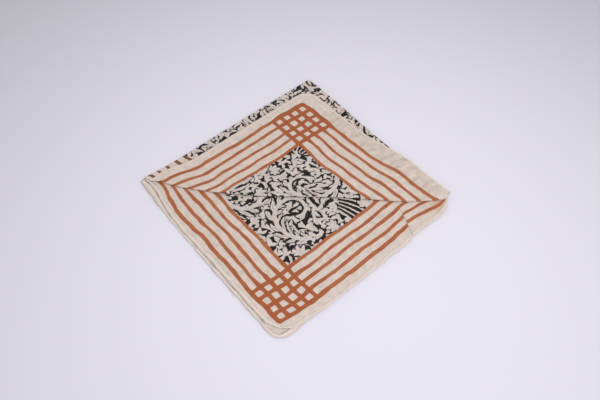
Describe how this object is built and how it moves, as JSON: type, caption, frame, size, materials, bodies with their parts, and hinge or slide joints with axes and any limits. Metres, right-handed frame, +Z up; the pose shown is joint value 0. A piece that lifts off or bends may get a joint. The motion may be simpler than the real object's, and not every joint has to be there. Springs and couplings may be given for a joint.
{
  "type": "folded cotton bandana",
  "caption": "Square cotton bandana folded to a quarter square, with the top layer's hem corner turned back over the diagonal; lies flat on a surface.",
  "frame": {"origin": "middle of the bounding box on the surface that the folded cloth lies on", "axes": "+Z up through the layers; +Y towards the folded corner, the middle of the cloth; -Y towards the loose hem corners; +X along the turned-back corner's crease"},
  "size_m": [0.3908, 0.3868, 0.0093],
  "materials": {
    "printed_cotton": "matte plain-weave cotton, cream, printed in rust and black"
  },
  "bodies": {
    "root": {"cloth": "printed_cotton"}
  },
  "joints": []
}
